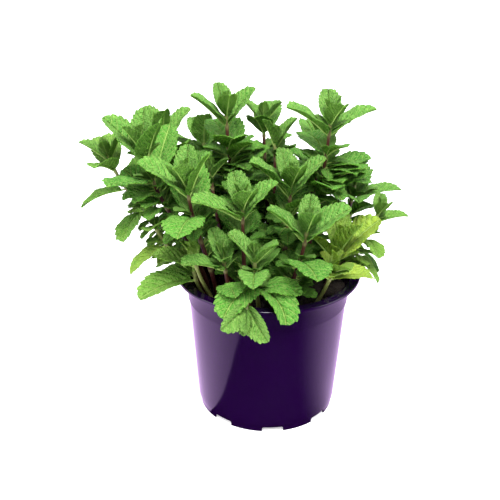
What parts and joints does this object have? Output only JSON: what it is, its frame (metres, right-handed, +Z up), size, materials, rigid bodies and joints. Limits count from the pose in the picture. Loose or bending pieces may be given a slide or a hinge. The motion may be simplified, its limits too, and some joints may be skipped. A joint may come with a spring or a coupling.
{
  "type": "potted mint plant",
  "caption": "Mint plant with square stems and crossed pairs of toothed leaves, growing in soil in a thin tapered plastic nursery pot.",
  "frame": {"origin": "middle of the pot's base, on the surface that it stands on, at the flat centre foot", "axes": "+Z up along the pot's axis; -Y towards the side seen first; +X to that side's right"},
  "size_m": [0.2287, 0.185, 0.2308],
  "materials": {
    "pot": "thin glossy dark purple moulded plastic",
    "soil": "damp loose dark potting soil of peat and bark fibre",
    "leaf": "living mint leaf: mid green, softly crinkled, satin, with pale veins; its stem is dark red-brown"
  },
  "bodies": {
    "root": {"pot": "pot", "soil": "soil", "leafy_stem_front_low": "leaf", "leafy_stem_over_rim": "leaf", "leafy_stem_front_left": "leaf", "leafy_stem_left_bottom": "leaf", "leafy_stem_low_right": "leaf", "leafy_stem_front_right": "leaf", "leafy_stem_centre_front": "leaf", "leafy_stem_mid_right": "leaf", "leafy_stem_left_front": "leaf", "leafy_stem_left_tall": "leaf", "leafy_stem_right_tall": "leaf", "leafy_stem_centre_back": "leaf", "leafy_stem_left_rim": "leaf", "leafy_stem_right_low": "leaf", "leafy_stem_far_right": "leaf", "leafy_stem_far_left": "leaf", "leafy_stem_left_back": "leaf", "leafy_stem_mid_back": "leaf", "leafy_stem_back": "leaf", "leafy_stem_centre": "leaf", "leafy_stem_right_mid": "leaf", "leafy_stem_low_left": "leaf", "leafy_stem_back_left": "leaf", "leafy_stem_back_right": "leaf", "leafy_stem_back_low": "leaf", "leafy_stem_far_back_right": "leaf", "leafy_stem_far_back_left": "leaf"}
  },
  "joints": []
}
